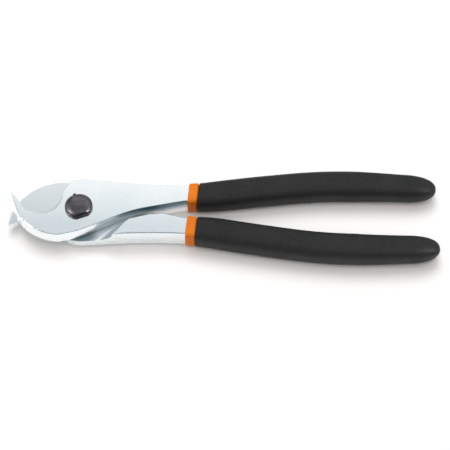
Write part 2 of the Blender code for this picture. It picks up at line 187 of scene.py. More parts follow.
def feed(tree, socket, value):
    if isinstance(value, bpy.types.NodeSocket):
        tree.links.new(value, socket)
    else:
        socket.default_value = value


def mathOf(tree, operation, first, second=0.0, third=None):
    node = addNode(tree, "ShaderNodeMath", operation=operation)
    feed(tree, node.inputs[0], first)
    feed(tree, node.inputs[1], second)
    if third is not None:
        feed(tree, node.inputs[2], third)
    return node.outputs[0]


def newGroup(name, kind, inputs, outputs):
    tree = bpy.data.node_groups.new(name, kind)
    for title, socketType, default in inputs:
        socket = tree.interface.new_socket(name=title, in_out="INPUT", socket_type=socketType)
        if default is not None:
            socket.default_value = default
    for title, socketType in outputs:
        tree.interface.new_socket(name=title, in_out="OUTPUT", socket_type=socketType)
    return tree, addNode(tree, "NodeGroupInput"), addNode(tree, "NodeGroupOutput")


def grainGroup():
    # fine grain, stretched along x by Stretch: a value for colour and roughness, and a height
    tree, given, out = newGroup("surfaceGrain", "ShaderNodeTree",
                                (("Vector", "NodeSocketVector", None), ("Scale", "NodeSocketFloat", 400.0),
                                 ("Stretch", "NodeSocketFloat", 1.0), ("Detail", "NodeSocketFloat", 4.0),
                                 ("Blotch Scale", "NodeSocketFloat", 60.0)),
                                (("Fine", "NodeSocketFloat"), ("Blotch", "NodeSocketFloat")))
    squeeze = addNode(tree, "ShaderNodeCombineXYZ")
    tree.links.new(mathOf(tree, "DIVIDE", 1.0, given.outputs["Stretch"]), squeeze.inputs[0])
    squeeze.inputs[1].default_value = 1.0
    squeeze.inputs[2].default_value = 1.0
    paintedShadePatch = addNode(tree, "ShaderNodeVectorMath", operation="MULTIPLY")
    tree.links.new(given.outputs["Vector"], paintedShadePatch.inputs[0])
    tree.links.new(squeeze.outputs[0], paintedShadePatch.inputs[1])
    fine = addNode(tree, "ShaderNodeTexNoise")
    tree.links.new(paintedShadePatch.outputs[0], fine.inputs["Vector"])
    for title in ("Scale", "Detail"):
        tree.links.new(given.outputs[title], fine.inputs[title])
    blotch = addNode(tree, "ShaderNodeTexNoise")
    tree.links.new(given.outputs["Vector"], blotch.inputs["Vector"])
    tree.links.new(given.outputs["Blotch Scale"], blotch.inputs["Scale"])
    blotch.inputs["Detail"].default_value = 3.0
    tree.links.new(fine.outputs["Fac"], out.inputs["Fine"])
    tree.links.new(blotch.outputs["Fac"], out.inputs["Blotch"])
    return tree


def edgeSheenAndWearGroup():
    # where edges stand proud, broken up by noise
    tree, given, out = newGroup("edgeSheenAndWear", "ShaderNodeTree",
                                (("Vector", "NodeSocketVector", None), ("Start", "NodeSocketFloat", 0.52),
                                 ("Softness", "NodeSocketFloat", 0.05), ("Break Up", "NodeSocketFloat", 0.5),
                                 ("Noise Scale", "NodeSocketFloat", 300.0)),
                                (("Mask", "NodeSocketFloat"),))
    geometry = addNode(tree, "ShaderNodeNewGeometry")
    noise = addNode(tree, "ShaderNodeTexNoise")
    tree.links.new(given.outputs["Vector"], noise.inputs["Vector"])
    tree.links.new(given.outputs["Noise Scale"], noise.inputs["Scale"])
    above = mathOf(tree, "SUBTRACT", geometry.outputs["Pointiness"], given.outputs["Start"])
    proud = mathOf(tree, "DIVIDE", above, given.outputs["Softness"])
    swing = mathOf(tree, "SUBTRACT", noise.outputs["Fac"], 0.5)
    broken = mathOf(tree, "MULTIPLY", swing, given.outputs["Break Up"])
    mask = addNode(tree, "ShaderNodeClamp")
    tree.links.new(mathOf(tree, "ADD", proud, broken), mask.inputs["Value"])
    tree.links.new(mask.outputs[0], out.inputs["Mask"])
    return tree


grainTree = grainGroup()
edgeSheenAndWearTree = edgeSheenAndWearGroup()


def startMaterial(name, turn=0.0):
    # a material with the piece's own coordinates, turned about z so that a grain can run along it
    material = bpy.data.materials.new(name)
    material.use_nodes = True
    tree = material.node_tree
    shader = tree.nodes["Principled BSDF"]
    place = addNode(tree, "ShaderNodeTexCoord")
    mapping = addNode(tree, "ShaderNodeMapping")
    mapping.inputs["Rotation"].default_value = (0, 0, turn)
    tree.links.new(place.outputs["Object"], mapping.inputs["Vector"])
    return material, tree, shader, mapping.outputs["Vector"]


def useGroup(tree, group, vector, **values):
    node = addNode(tree, "ShaderNodeGroup", node_tree=group)
    tree.links.new(vector, node.inputs["Vector"])
    for key, value in values.items():
        feed(tree, node.inputs[key], value)
    return node


def mixColour(tree, factor, first, second):
    node = addNode(tree, "ShaderNodeMix", data_type="RGBA")
    feed(tree, node.inputs[0], factor)
    feed(tree, node.inputs[6], first)
    feed(tree, node.inputs[7], second)
    return node.outputs[2]


def spread(tree, value, low, high, fromLow=0.3, fromHigh=0.7):
    node = addNode(tree, "ShaderNodeMapRange")
    feed(tree, node.inputs["Value"], value)
    node.inputs["From Min"].default_value = fromLow
    node.inputs["From Max"].default_value = fromHigh
    node.inputs["To Min"].default_value = low
    node.inputs["To Max"].default_value = high
    return node.outputs["Result"]


def finishSurface(tree, shader, colour, rough, height, strength, distance):
    bump = addNode(tree, "ShaderNodeBump")
    bump.inputs["Strength"].default_value = strength
    bump.inputs["Distance"].default_value = distance
    tree.links.new(height, bump.inputs["Height"])
    for value, title in ((colour, "Base Color"), (rough, "Roughness"), (bump.outputs["Normal"], "Normal")):
        tree.links.new(value, shader.inputs[title])


steelLook = dict(
    light=(0.90, 0.895, 0.885, 1),  # painted light: lightest towards +y, the back of the tool
    dark=(0.695, 0.725, 0.735, 1),  # painted shade: darkest towards -y, the front of the tool
    paintedLitAt=15 * mm,  # y of the lightest place, and of the darkest
    paintedShadeAt=-11 * mm,
    wornAndSheen=(0.92, 0.925, 0.93, 1),
    sheenAndWear=0.15,
    roughLow=0.245,
    roughHigh=0.285,
    uneven=0.12,  # how far the blotches shift the shade
    blotchScale=55.0,
    bumpHeight=0.1 * mm,
    patchTurn=radians(12),
    patchFrom=0.10,
    patchFull=0.62,
)


def satinChrome(name, stretch=10.0, turn=0.0, fineScale=2200.0, bump=0.008, rougher=0.0, towards=None,
                paintedShadePatch=None):
    # towards is a share and a colour to mix in; the last argument is a patch of painted shade: its place,
    # reach, colour and share
    look = steelLook
    material, tree, shader, vector = startMaterial(name, turn)
    grain = useGroup(tree, grainTree, vector, Scale=fineScale, Stretch=stretch,
                     **{"Blotch Scale": look["blotchScale"]})
    sheenAndWear = useGroup(tree, edgeSheenAndWearTree, vector, Start=0.56, Softness=0.08)
    parts = addNode(tree, "ShaderNodeSeparateXYZ")
    tree.links.new(tree.nodes["Texture Coordinate"].outputs["Object"], parts.inputs[0])
    # painted light and shade: the steel's colour runs from dark at -y to light at +y
    across = spread(tree, parts.outputs["Y"], 0.0, 1.0, look["paintedShadeAt"], look["paintedLitAt"])
    blotch = spread(tree, grain.outputs["Blotch"], -look["uneven"], look["uneven"])
    colour = mixColour(tree, mathOf(tree, "ADD", across, blotch), look["dark"], look["light"])
    # painted highlight: the steel's proud edges are mixed towards a lighter colour
    rubbedAndSheen = mathOf(tree, "MULTIPLY", sheenAndWear.outputs["Mask"], look["sheenAndWear"])
    colour = mixColour(tree, rubbedAndSheen, colour, look["wornAndSheen"])
    if towards:
        colour = mixColour(tree, towards[0], colour, towards[1])
    if paintedShadePatch:
        # painted shade: darker in an oval whose edge the grain breaks up
        place, reach, shade, most = paintedShadePatch
        patch = addNode(tree, "ShaderNodeMapping", vector_type="TEXTURE")
        patch.inputs["Location"].default_value = place
        patch.inputs["Rotation"].default_value = (0, 0, look["patchTurn"])
        patch.inputs["Scale"].default_value = reach
        tree.links.new(tree.nodes["Texture Coordinate"].outputs["Object"], patch.inputs["Vector"])
        ball = addNode(tree, "ShaderNodeTexGradient", gradient_type="SPHERICAL")
        tree.links.new(patch.outputs["Vector"], ball.inputs["Vector"])
        fray = mathOf(tree, "MULTIPLY", grain.outputs["Fine"], look["uneven"])
        edge = mathOf(tree, "ADD", ball.outputs["Fac"], fray)
        share = spread(tree, edge, 0.0, most, look["patchFrom"], look["patchFull"])
        colour = mixColour(tree, share, colour, shade)
    shader.inputs["Metallic"].default_value = 1.0
    rough = spread(tree, grain.outputs["Fine"], look["roughLow"] + rougher, look["roughHigh"] + rougher)
    finishSurface(tree, shader, colour, rough, grain.outputs["Fine"], bump, look["bumpHeight"])
    return material


oxideLook = dict(
    light=(0.138, 0.127, 0.133, 1),
    dark=(0.082, 0.076, 0.080, 1),
    wornAndSheen=(0.30, 0.29, 0.29, 1),
    grainScale=1500.0,
    blotchScale=260.0,
    metallic=0.85,
    roughLow=0.26,
    roughHigh=0.36,
    bump=0.15,
)


def blackOxide(name):
    look = oxideLook
    material, tree, shader, vector = startMaterial(name)
    grain = useGroup(tree, grainTree, vector, Scale=look["grainScale"], Detail=5.0,
                     **{"Blotch Scale": look["blotchScale"]})
    sheenAndWear = useGroup(tree, edgeSheenAndWearTree, vector, Start=0.6, Softness=0.12)
    colour = mixColour(tree, spread(tree, grain.outputs["Blotch"], 0.0, 1.0), look["dark"], look["light"])
    colour = mixColour(tree, sheenAndWear.outputs["Mask"], colour, look["wornAndSheen"])
    shader.inputs["Metallic"].default_value = look["metallic"]
    rough = spread(tree, grain.outputs["Fine"], look["roughLow"], look["roughHigh"])
    finishSurface(tree, shader, colour, rough, grain.outputs["Fine"], look["bump"], 0.05 * mm)
    return material


orangeLook = dict(
    light=(0.72, 0.190, 0.0015, 1),
    dark=(0.62, 0.145, 0.001, 1),
    grainScale=2200.0,
    blotchScale=120.0,
    gloss=0.16,
    roughLow=0.38,
    roughHigh=0.5,
    bump=0.12,
)


def orangePlastic(name):
    look = orangeLook
    material, tree, shader, vector = startMaterial(name)
    grain = useGroup(tree, grainTree, vector, Scale=look["grainScale"],
                     **{"Blotch Scale": look["blotchScale"]})
    colour = mixColour(tree, spread(tree, grain.outputs["Blotch"], 0.0, 1.0), look["dark"], look["light"])
    shader.inputs["Specular IOR Level"].default_value = look["gloss"]
    rough = spread(tree, grain.outputs["Fine"], look["roughLow"], look["roughHigh"])
    finishSurface(tree, shader, colour, rough, grain.outputs["Fine"], look["bump"], 0.05 * mm)
    return material


gripLook = dict(
    light=(0.015, 0.015, 0.015, 1),
    dark=(0.006, 0.006, 0.006, 1),
    rubbedAndSheen=(0.021, 0.021, 0.021, 1),
    cellScale=1500.0,
    grainScale=1100.0,
    blotchScale=70.0,
    rub=0.45,  # the most that the skin is rubbed on its flats
    gloss=0.22,
    roughSkin=0.62,
    roughRubbed=0.5,
    bump=0.35,
    cellDepth=0.12 * mm,
)


def blackGrip(name):
    # foamed rubber: small closed cells, and a slightly rubbed skin
    look = gripLook
    material, tree, shader, vector = startMaterial(name)
    grain = useGroup(tree, grainTree, vector, Scale=look["grainScale"], Detail=6.0,
                     **{"Blotch Scale": look["blotchScale"]})
    sheenAndWear = useGroup(tree, edgeSheenAndWearTree, vector, Start=0.52, Softness=0.1)
    cells = addNode(tree, "ShaderNodeTexVoronoi", feature="SMOOTH_F1")
    tree.links.new(vector, cells.inputs["Vector"])
    cells.inputs["Scale"].default_value = look["cellScale"]
    speck = spread(tree, grain.outputs["Fine"], 0.0, 1.0, 0.35, 0.65)
    colour = mixColour(tree, speck, look["dark"], look["light"])
    colour = mixColour(tree, spread(tree, grain.outputs["Blotch"], 0.0, look["rub"]), colour, look["rubbedAndSheen"])
    colour = mixColour(tree, sheenAndWear.outputs["Mask"], colour, look["rubbedAndSheen"])
    shader.inputs["Specular IOR Level"].default_value = look["gloss"]
    rough = spread(tree, grain.outputs["Blotch"], look["roughSkin"], look["roughRubbed"])
    pores = mathOf(tree, "MULTIPLY", grain.outputs["Fine"], 0.8)
    height = mathOf(tree, "ADD", cells.outputs["Distance"], pores)
    finishSurface(tree, shader, colour, rough, height, look["bump"], look["cellDepth"])
    return material


beltTurn = radians(38)  # the belt's direction on the bevels and the lap faces
steelFace = satinChrome("satinChrome")
# the ground faces mix most of the way to the light edge colour: their ground finish, with a painted
# highlight in it
steelGround = satinChrome("groundSteel", stretch=30.0, turn=beltTurn, fineScale=1300.0, bump=0.2,
                          rougher=0.12, towards=(0.7, steelLook["wornAndSheen"]))
# the lap steel's patch is painted shade on the milled recess floor, beside the front blade's wall
steelLap = satinChrome("lapSteel", stretch=8.0, turn=beltTurn, bump=0.04, rougher=0.06,
                       towards=(0.35, (0.58, 0.61, 0.62, 1)),
                       paintedShadePatch=((4.0 * mm, -15.6 * mm, 7.2 * mm), (8.5 * mm, 4.5 * mm, 8.0 * mm),
                               (0.17, 0.23, 0.26, 1), 0.85))
# the side steel's patch is a painted dark reflection along the upper part of the inner sides
steelSide = satinChrome("sideSteel", stretch=5.0, bump=0.05, rougher=0.04,
                        paintedShadePatch=((46.0 * mm, 4.0 * mm, 14.0 * mm), (48.0 * mm, 18.0 * mm, 9.0 * mm),
                                (0.12, 0.195, 0.235, 1), 0.95))
oxide = blackOxide("blackOxide")
steels = (steelFace, steelGround, steelLap, steelSide)
orange = orangePlastic("orangePlastic")
rubber = blackGrip("blackGrip")
print("materials made:", len(bpy.data.materials))


# The handle's line, which the shanks and the grips follow

grip = dict(
    collarFront=57.9 * mm,
    collarLength=5 * mm,
    collarWall=0.7 * mm,
    sleeveWall=0.9 * mm,
    gap=0.3 * mm,
    end=192.53 * mm,
    width=15.7 * mm,
    thickness=14.4 * mm,
    mouthShare=0.94,
    swell=14 * mm,
    taper=45 * mm,  # from the grip's end
    nose=18.6 * mm,
    noseShare=0.9,
    noseRoundness=2.4,
    tangWidth=8.6 * mm,
    tangThickness=8.4 * mm,
    tangEndShare=0.72,
    tangStop=12 * mm,
    lean=0.14,  # how far the upper mouth leans back, towards the nose
    slide=0.4 * mm,  # and how much further back it sits than the lower one
    leanReach=24 * mm,
    # the middle line: share of the grip's length, and offset in mm
    route=((0.0, 10.2), (0.105, 11.4), (0.298, 15.2), (0.505, 18.6), (0.684, 19.5), (0.87, 19.0),
           (1.0, 18.3)),
    sides=72,
    coverSquareness=2.9,
    collarSquareness=5.5,
    coverLip=0.5 * mm,
    collarRound=0.45 * mm,
    coverCavityShare=0.78,
    sleeveEndShare=0.76,
)
gripLength = grip["end"] - grip["collarFront"]
routeRows = np.array(smoothRows([(grip["collarFront"] + share * gripLength, offset * mm)
                                 for share, offset in grip["route"]], 1 * mm))


def handleOffset(x):
    if x < routeRows[0][0]:
        slope = (routeRows[1][1] - routeRows[0][1]) / (routeRows[1][0] - routeRows[0][0])
        return routeRows[0][1] + slope * (x - routeRows[0][0])
    return float(np.interp(x, routeRows[:, 0], routeRows[:, 1]))


# The two forgings, drawn once: the rear one is the front one turned over

half = dict(
    seat=0.3 * mm,
    jawBackCentre=(-9.4 * mm, 9.5 * mm),
    jawBackRadius=28.2 * mm,
    throatCorner=(-10.3 * mm, 9.9 * mm),
    edgeMiddle=-22.3 * mm,
    edgeStart=radians(214),  # straight from the tip to here, then round
    frontDepth=-0.5 * mm,
    rearDepth=0.9 * mm,
    edgeBevelEnds=1.2 * mm,
    edgeBevelMiddle=4.9 * mm,
    backBevel=1.55 * mm,
    sideBevel=0.4 * mm,
    outerBevel=0.1 * mm,
    tipFade=9 * mm,
    cornerEase=3.6 * mm,
    fillet=0.7 * mm,  # radius along the outer face
    bellyFillet=0.36 * mm,  # and along the inner side and the jaw's back
    edgeFillet=0.22 * mm,  # and along the ground edge, which is crisper
    hornFillet=1.9 * mm,  # and near the tip, where the forging is rounder
    hornReach=13 * mm,
    shankWidth=11 * mm,
    shankEnd=61 * mm,
    notch=(-6.6 * mm, 15.4 * mm),
    # in mm from the notch to the collar, and back along the inner side with its bevel
    shoulder=((-4.6, 17.0), (-1.0, 17.9), (3.0, 18.0), (14.0, 17.0), (24.0, 16.2), (34.0, 15.7),
              (46.0, 15.4)),
    inner=((45.0, 2.1, 0.5), (33.0, -0.6, 0.4), (25.0, -3.7, 0.7), (16.0, -8.5, 1.2), (7.0, -13.2, 1.55),
           (0.0, -16.2, 1.55)),
    # the milled step's top edge in mm, and how far its hollow runs out in x and y
    stepTop=((38.0, 3.3, 0.3, -0.5), (30.0, 5.5, -0.6, -1.0), (26.3, 6.9, -2.1, -1.5),
             (22.4, 11.6, -5.4, -1.6)),
    stepOuter=(18.9 * mm, 9.5 * mm),  # its outer end, and the run there
    passes=(-12, 18, 36, 54, 72, 108),  # degrees round the hollow where one cutter pass meets the next
    ridge=0.15 * mm,  # height of the ridges between the passes
    paintedDarkSideFrom=11 * mm,  # from here back the inner side takes the side steel, with its painted dark reflection
    parting=0.03 * mm,  # the trace of the forging dies along the shank
    pointGap=0.8 * mm,
)
bladeThickness = outerFace - half["seat"] / 2
lapFace = half["seat"] / 2
tip = (half["jawBackCentre"][0] - half["jawBackRadius"], half["jawBackCentre"][1])


def cuttingEdge(depth):
    # x, y, bevel and fillet from the tip to the throat's corner
    corner, gap = half["throatCorner"], half["pointGap"] * 0.8
    across, rise = corner[0] - half["edgeMiddle"], corner[1] - depth
    radius = (across ** 2 + rise ** 2) / (2 * rise)
    centre = (half["edgeMiddle"], depth + radius)
    end = 2 * pi + asin((corner[1] - centre[1]) / radius)
    curve = arcPoints(centre, radius, half["edgeStart"], end, gap)
    x, y = curve[0][0] - tip[0], curve[0][1] - tip[1]
    count = round(hypot(x, y) / gap)
    rows = [(tip[0] + x * k / count, tip[1] + y * k / count, half["edgeBevelEnds"], half["edgeFillet"])
            for k in range(count)]
    for k, (x, y) in enumerate(curve):
        swell = abs(sin(pi * k / (len(curve) - 1))) ** 1.5
        bevel = half["edgeBevelEnds"] + (half["edgeBevelMiddle"] - half["edgeBevelEnds"]) * swell
        rows.append((x, y, bevel, half["edgeFillet"]))
    return rows


def outerSide():
    rows = [(*half["notch"], half["outerBevel"], half["fillet"])]
    rows += [(x * mm, y * mm, half["outerBevel"], half["fillet"]) for x, y in half["shoulder"]]
    rows += [(x, handleOffset(x) + half["shankWidth"] / 2, half["outerBevel"], half["fillet"])
             for x in (grip["collarFront"] - 2 * mm, half["shankEnd"])]
    return smoothRows(rows, half["pointGap"])


def innerSide():
    rows = [(x, handleOffset(x) - half["shankWidth"] / 2, half["sideBevel"], half["bellyFillet"])
            for x in (half["shankEnd"], grip["collarFront"] - 2 * mm)]
    rows += [(x * mm, y * mm, bevel * mm, half["bellyFillet"]) for x, y, bevel in half["inner"]]
    middle, radius = half["jawBackCentre"], half["jawBackRadius"]
    rows.append((middle[0], middle[1] - radius, half["backBevel"], half["bellyFillet"]))
    return smoothRows(rows, half["pointGap"])


def easeCorners(rows, corners):
    # bevels and roundings run out towards sharp corners, so that the inset outlines don't cross there
    nearest = np.min([np.hypot(rows[:, 0] - x, rows[:, 1] - y) for x, y in corners], axis=0)
    return np.clip(nearest / half["cornerEase"], 0.03, 1.0)


def bladeRows(depth):
    edge = cuttingEdge(depth)
    rows = edge + [tuple(row) for row in outerSide()] + [tuple(row) for row in innerSide()]
    back = arcPoints(half["jawBackCentre"], half["jawBackRadius"], 1.5 * pi, pi, half["pointGap"])
    for x, y in back[1:-1]:
        nearTip = exp(-(hypot(x - tip[0], y - tip[1]) / half["hornReach"]) ** 2)
        fillet = half["bellyFillet"] + (half["hornFillet"] - half["bellyFillet"]) * nearTip
        rows.append((x, y, half["backBevel"], fillet))
    rows = np.array(rows)
    fade = np.minimum(1.0, 0.04 + np.hypot(rows[:, 0] - tip[0], rows[:, 1] - tip[1]) / half["tipFade"])
    fade *= easeCorners(rows, (outerSide()[-1][:2], innerSide()[0][:2]))
    rows[:, 2:] *= fade[:, None]
    # in the narrow horn, the edge's bevel and the back's rounding share the width there is
    edgeRows, backStart = slice(0, len(edge)), len(edge) + len(outerSide())
    for own, other in ((edgeRows, slice(backStart, None)), (slice(backStart, None), edgeRows)):
        offsets = rows[own, None, :2] - rows[None, other, :2]
        width = np.linalg.norm(offsets, axis=2).min(axis=1)
        room = np.maximum(width * 0.46 - rows[own, 2], 0.02 * mm * fade[own])
        rows[own, 2] = np.minimum(rows[own, 2], width * 0.42)
        rows[own, 3] = np.minimum(rows[own, 3], room)
    return rows, len(edge)


def sidewaysOf(points):
    # the unit direction into the metal at each point of a clockwise outline
    before, after = np.roll(points, 1, axis=0), np.roll(points, -1, axis=0)
    first, second = points - before, after - points
    first /= np.linalg.norm(first, axis=1)[:, None]
    second /= np.linalg.norm(second, axis=1)[:, None]
    along = first + second
    along /= np.linalg.norm(along, axis=1)[:, None]
    return np.stack((along[:, 1], -along[:, 0]), axis=1)


def bladeBody(name, depth):
    rows, edgeCount = bladeRows(depth)
    points, bevel, fillet = rows[:, :2], rows[:, 2], rows[:, 3]
    inward = sidewaysOf(points)
    edgeBreak, steps = 0.1 * mm, 6
    levels = [(np.full(len(rows), lapFace), np.minimum(edgeBreak, fillet))]
    isEdge = np.arange(len(rows)) < edgeCount
    for k in range(steps + 1):
        z = lapFace + edgeBreak + k / steps * (bladeThickness - edgeBreak - fillet)
        rise = (z - lapFace) / bladeThickness
        bulge = np.where(isEdge, rise, rise ** 1.35)
        levels.append((z, bevel * bulge))
    wallTop = levels[-1][1]
    for k in range(1, steps + 1):
        turn = pi / 2 * k / steps
        inset = wallTop + fillet * (1 - cos(turn)) + bevel * 0.04 * k / steps
        levels.append((outerFace - fillet * (1 - sin(turn)), inset))
    levels.append((np.full(len(rows), outerFace), levels[-1][1] + fillet * 0.06))
    wallLevels, roundLevels = steps + 2, 2 * steps - 1
    rings = [[(*(points[i] + inward[i] * inset[i]), z[i]) for i in range(len(rows))] for z, inset in levels]
    sideStart = edgeCount + len(outerSide())

    def slotOf(level, i):
        if i < edgeCount - 1:
            return 1 if level < wallLevels else 0
        return 3 if i >= sideStart and points[i][0] > half["paintedDarkSideFrom"] and level < roundLevels else 0

    body = skinRings(rings, slotOf, firstCap=2)
    return meshObject(name, body, steels)


def shankBack(name):
    # the half of the shank behind the blade, whose front wall is milled out in a hollow
    outer, inner = np.array(outerSide()), np.array(innerSide())[::-1]
    gap, parting = half["pointGap"], half["parting"]
    startX, run = half["stepOuter"]

    def topY(x):
        return float(np.interp(x, outer[:, 0], outer[:, 1])) - parting

    rows = [(startX, topY(startX), -run, topY(startX - run) - topY(startX))]
    count = round((half["shankEnd"] - startX) / gap)
    rows += [(x, topY(x), 0, 0) for x in np.linspace(startX + 5 * mm, half["shankEnd"] - parting, count)]
    rows += [(x, float(np.interp(x, inner[:, 0], inner[:, 1])) + parting, 0, 0)
             for x in np.linspace(half["shankEnd"] - parting, 45 * mm, 20)]
    step = [tuple(value * mm for value in row) for row in half["stepTop"]]
    curve = smoothRows([rows[-1], *step, rows[0]], gap)
    stepStart, rows = len(rows), rows + [tuple(row) for row in curve[1:-1]]
    rows = np.array(rows)
    points, reach = rows[:, :2], rows[:, 2:]
    inward = sidewaysOf(points)
    ease = easeCorners(rows, (rows[0, :2], rows[count, :2], rows[count + 1, :2]))
    fillet = half["fillet"] * ease
    fillet[stepStart + 6:] = np.minimum(fillet[stepStart + 6:], 0.25 * mm)
    draft = half["sideBevel"] * 0.8 * ease
    levels = [(-outerFace, fillet * 1.7 + draft, 0.0)]
    for turn in np.linspace(pi / 2, 0, 7):
        levels.append((-outerFace + fillet * (1 - sin(turn)), draft + fillet * (1 - cos(turn)), 0.0))
    depth = outerFace + lapFace - half["fillet"]
    run = np.hypot(*reach.T)
    for turn in np.linspace(0, pi / 2, 37)[1:]:
        place = np.interp(turn, np.radians(half["passes"]), range(len(half["passes"])))
        ridge = half["ridge"] * (1 - abs(sin(pi * place))) * np.clip(run / mm, 0, 1)
        size = np.hypot(depth * cos(turn), run * sin(turn)) + 0.001 * mm
        hollow = 1 - cos(turn) + ridge * depth * cos(turn) / size / np.maximum(run, 0.1 * mm)
        z = lapFace - depth * (1 - sin(turn)) + ridge * run * sin(turn) / size
        levels.append((z, draft * (1 - sin(turn)), hollow))
    levels.append((lapFace + bladeThickness * 0.25, np.zeros(len(rows)), 1.0))
    rings = []
    for level in levels:
        z, inset, hollow = (np.broadcast_to(value, len(rows)) for value in level)
        rings.append([(*(points[i] + inward[i] * inset[i] + reach[i] * hollow[i]), z[i])
                      for i in range(len(rows))])

    def slotOf(level, i):
        if i >= stepStart + 10 and level > 7:
            return 1
        return 3 if i > count and level > 5 else 0

    return meshObject(name, skinRings(rings, slotOf), steels)


def sectionRing(x, halfWidth, halfThickness, squareness, count=32):
    reach = 1 * mm
    along = Vector((2 * reach, handleOffset(x + reach) - handleOffset(x - reach), 0)).normalized()
    across = Vector((-along.y, along.x, 0))
    ring = []
    for k in range(count):
        c, s = cos(2 * pi * k / count), sin(2 * pi * k / count)
        u = halfWidth * abs(c) ** (2 / squareness) * (1 if c > 0 else -1)
        v = halfThickness * abs(s) ** (2 / squareness) * (1 if s > 0 else -1)
        ring.append(Vector((x, handleOffset(x), v)) + across * u)
    return ring


def tangBody(name):
    start, end = half["shankEnd"] - 6 * mm, grip["end"] - grip["tangStop"]
    rings = []
    for x in np.linspace(start, end, 24):
        size = 1 - (1 - grip["tangEndShare"]) * (x - start) / (end - start)
        rings.append(sectionRing(x, size * grip["tangWidth"] / 2, size * grip["tangThickness"] / 2, 4))
    return meshObject(name, skinRings(rings), steels)


def cylinderTool(name, radius, low, high, centre=(0, 0), sides=96):
    return meshObject(name, lathe(((0, low), (radius, low), (radius, high), (0, high)), sides, centre),
                      steels)


pivot = dict(
    boltRadius=4 * mm,
    barrelRadius=5.5 * mm,
    headRadius=7.4 * mm,
    rimHeight=1.1 * mm,
    rimRound=0.35 * mm,
    domePower=1.25,
    endChamfer=0.5 * mm,
    footRound=0.15 * mm,
    flat=6.6 * mm,
    ledge=5.6 * mm,
    turn=radians(-68.5),
    pinRadius=1.0 * mm,
    pinDepth=3.0 * mm,
    sinkRadius=8.5 * mm,
    sinkDepth=1.9 * mm,
)
pinPlace = (-pivot["headRadius"] * cos(pivot["turn"]), -pivot["headRadius"] * sin(pivot["turn"]))


def forging(name, depth, holes):
    body = bladeBody(name, depth)
    cutWith(body, shankBack("shankBack"), "UNION")
    cutWith(body, tangBody("tang"), "UNION")
    for radius, low, high, centre in holes:
        cutWith(body, cylinderTool("hole", radius, low, high, centre))
    for face in body.data.polygons:
        face.use_smooth = abs(face.normal.z) < 0.99995  # the flats show no trace of the roundings' normals
    return body


past = 1 * mm
frontForging = forging("frontForging", half["frontDepth"], (
    (pivot["boltRadius"] + half["seat"], -past, outerFace + past, (0, 0)),
    (pivot["pinRadius"] + 0.15 * mm, outerFace - pivot["pinDepth"] - 0.15 * mm, outerFace + past, pinPlace)))
rearForging = forging("rearForging", half["rearDepth"], (
    (pivot["barrelRadius"] + 0.06 * mm, -past, outerFace + past, (0, 0)),
    (pivot["sinkRadius"], outerFace - pivot["sinkDepth"], outerFace + past, (0, 0))))
for obj, node, body, turned in ((frontForging, "front_half", "front_body", False),
                                (rearForging, "rear_half", "rear_body", True)):
    placeHalf(obj, turned)
    standFor(obj, node, body)
print("forgings made")


# The grips, swept along the handle's line

def profileNodes(tree, width, thickness, squareness, sides):
    # a superellipse: an ellipse at squareness 2 and nearly a rectangle at 8
    circle = addNode(tree, "GeometryNodeCurvePrimitiveCircle")
    circle.inputs["Radius"].default_value = 1.0
    feed(tree, circle.inputs["Resolution"], sides)
    place = addNode(tree, "GeometryNodeInputPosition")
    parts = addNode(tree, "ShaderNodeSeparateXYZ")
    tree.links.new(place.outputs[0], parts.inputs[0])
    joined = addNode(tree, "ShaderNodeCombineXYZ")
    power = mathOf(tree, "DIVIDE", 2.0, squareness)
    for k, size in enumerate((width, thickness)):
        swollen = mathOf(tree, "POWER", mathOf(tree, "ABSOLUTE", parts.outputs[k]), power)
        signed = mathOf(tree, "MULTIPLY", swollen, mathOf(tree, "SIGN", parts.outputs[k]))
        reach = mathOf(tree, "MULTIPLY", size, 0.5)
        tree.links.new(mathOf(tree, "MULTIPLY", signed, reach), joined.inputs[k])
    shaped = addNode(tree, "GeometryNodeSetPosition")
    tree.links.new(circle.outputs["Curve"], shaped.inputs["Geometry"])
    tree.links.new(joined.outputs[0], shaped.inputs["Position"])
    return shaped.outputs[0]


def sweepNodes(tree, route, profile, start, end, scale=1.0):
    trim = addNode(tree, "GeometryNodeTrimCurve", mode="LENGTH")
    tree.links.new(route, trim.inputs["Curve"])
    feed(tree, trim.inputs[4], start)
    feed(tree, trim.inputs[5], end)
    upright = addNode(tree, "GeometryNodeSetCurveNormal", mode="Z_UP")
    tree.links.new(trim.outputs[0], upright.inputs["Curve"])
    sweep = addNode(tree, "GeometryNodeCurveToMesh")
    tree.links.new(upright.outputs[0], sweep.inputs["Curve"])
    tree.links.new(profile, sweep.inputs["Profile Curve"])
    feed(tree, sweep.inputs["Scale"], scale)
    sweep.inputs["Fill Caps"].default_value = True
    return sweep.outputs[0]


def ramp(tree, value, fromLow, fromHigh, toLow, toHigh):
    node = addNode(tree, "ShaderNodeMapRange")
    for title, given in (("Value", value), ("From Min", fromLow), ("From Max", fromHigh), ("To Min", toLow),
                         ("To Max", toHigh)):
        feed(tree, node.inputs[title], given)
    return node.outputs["Result"]


def combine(tree, operation, first, second):
    node = addNode(tree, "GeometryNodeMeshBoolean", operation=operation, solver="EXACT")
    if operation == "DIFFERENCE":
        tree.links.new(first, node.inputs["Mesh 1"])
    else:
        tree.links.new(first, node.inputs["Mesh 2"])
    tree.links.new(second, node.inputs["Mesh 2"])
    return node.outputs["Mesh"]


def finishTree(tree, mesh, given, out):
    real = addNode(tree, "GeometryNodeRealizeInstances")
    tree.links.new(mesh, real.inputs[0])
    painted = addNode(tree, "GeometryNodeSetMaterial")
    tree.links.new(real.outputs[0], painted.inputs["Geometry"])
    tree.links.new(given.outputs["Material"], painted.inputs["Material"])
    tree.links.new(painted.outputs[0], out.inputs["Geometry"])


